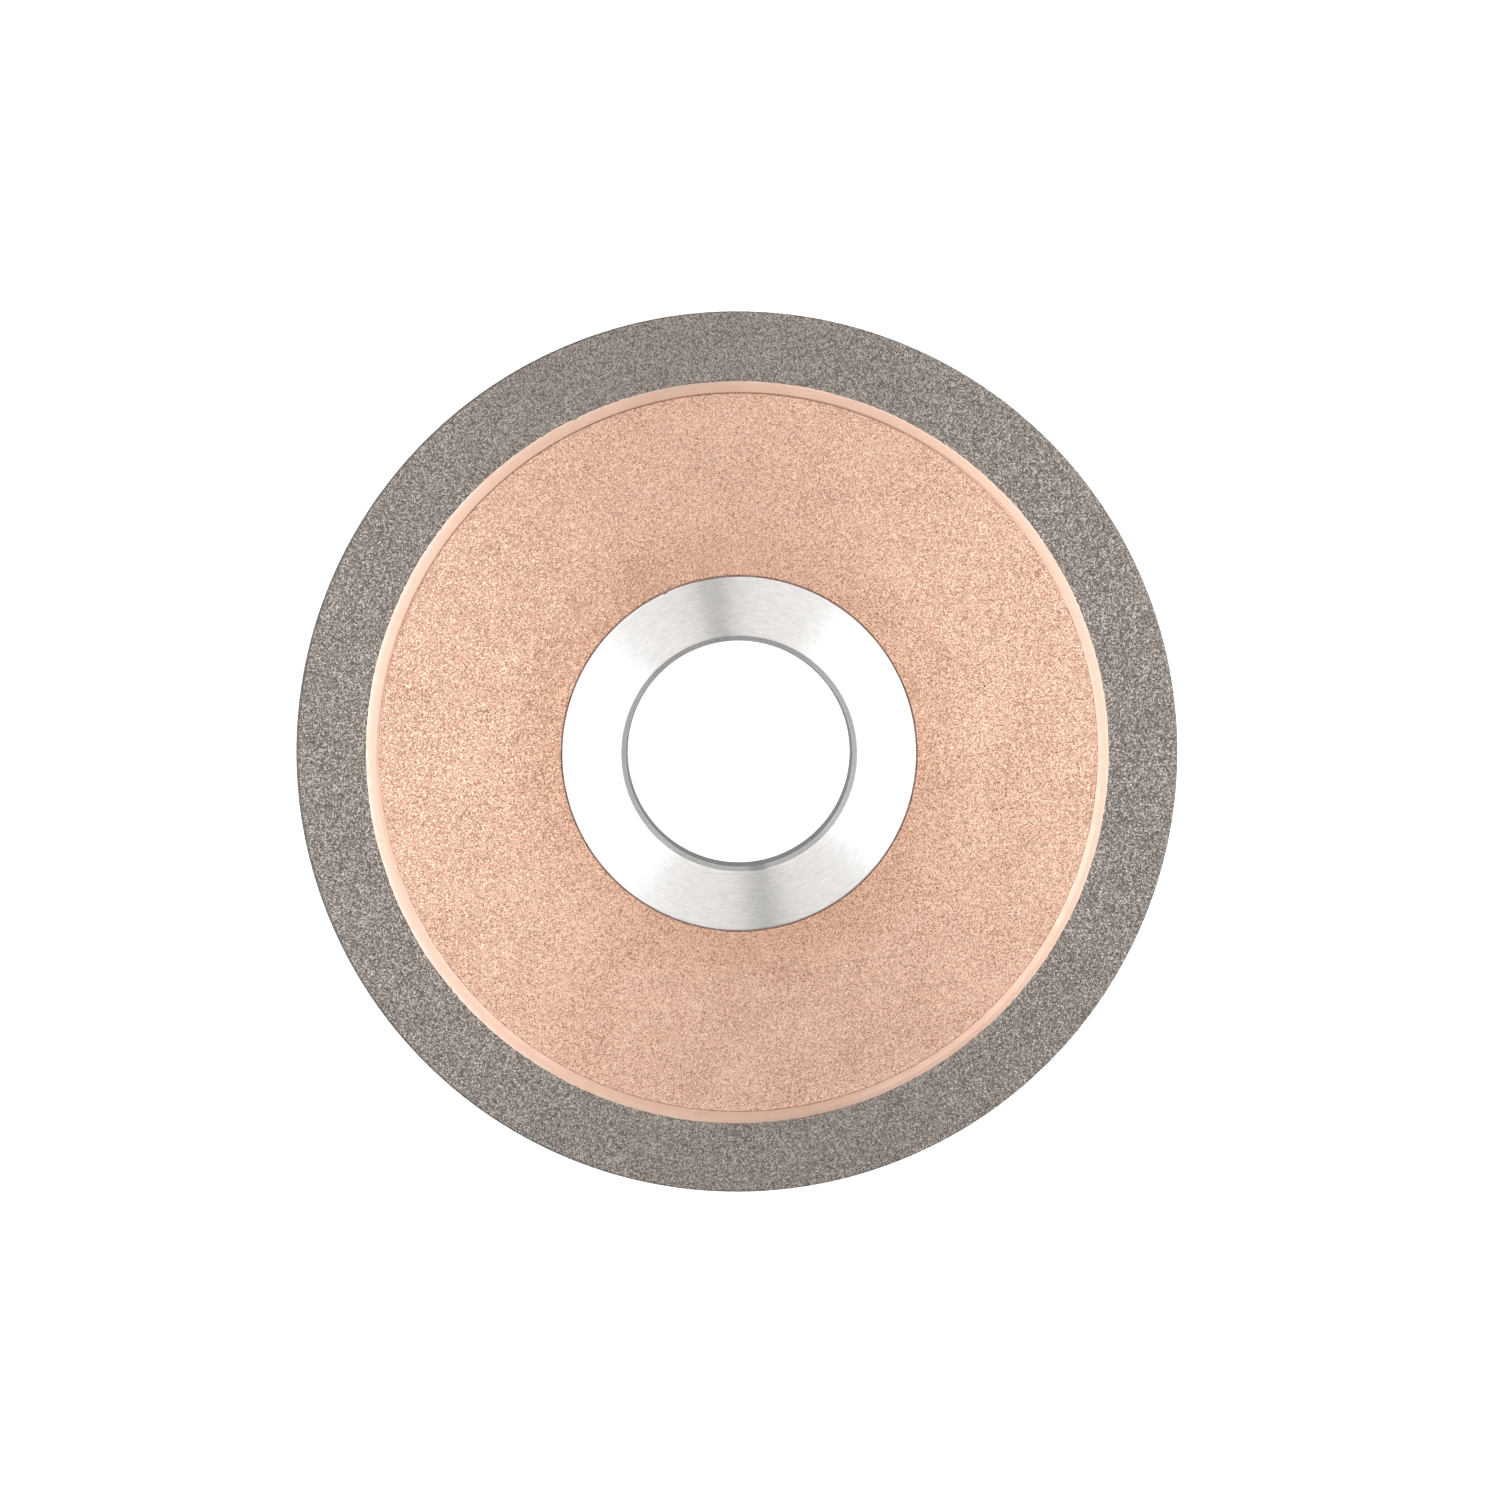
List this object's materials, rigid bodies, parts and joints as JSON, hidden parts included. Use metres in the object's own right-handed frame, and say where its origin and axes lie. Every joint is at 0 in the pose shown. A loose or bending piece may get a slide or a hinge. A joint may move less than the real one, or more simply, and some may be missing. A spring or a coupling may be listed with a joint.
{
  "type": "diamond grinding wheel",
  "caption": "Straight diamond grinding wheel: a grey diamond-loaded rim on a copper-filled resin disc, with an aluminium bush that carries the bore.",
  "frame": {"origin": "on the bore axis at the back face, which the wheel lies on", "axes": "+Z along the spin axis, from the back face to the front face; X and Y across the wheel, which is round"},
  "size_m": [0.125, 0.125, 0.01],
  "materials": {
    "diamond_rim": "trued diamond grit in grey resin: fine, matt and slightly glittering",
    "smooth_copper_resin": "copper-filled resin trued smooth, satin, with fine turning lines",
    "moulded_copper_resin": "copper-filled resin as moulded: pressed grains with a soft metallic glint",
    "cured_resin": "dark cured resin, matt",
    "turned_aluminium": "fine-turned, with concentric tool lines"
  },
  "bodies": {
    "root": {"diamond_rim": "diamond_rim", "transition_ring": "smooth_copper_resin", "body_disc": "moulded_copper_resin", "bush_bond_line": "cured_resin", "hub_bush": "turned_aluminium"}
  },
  "joints": []
}
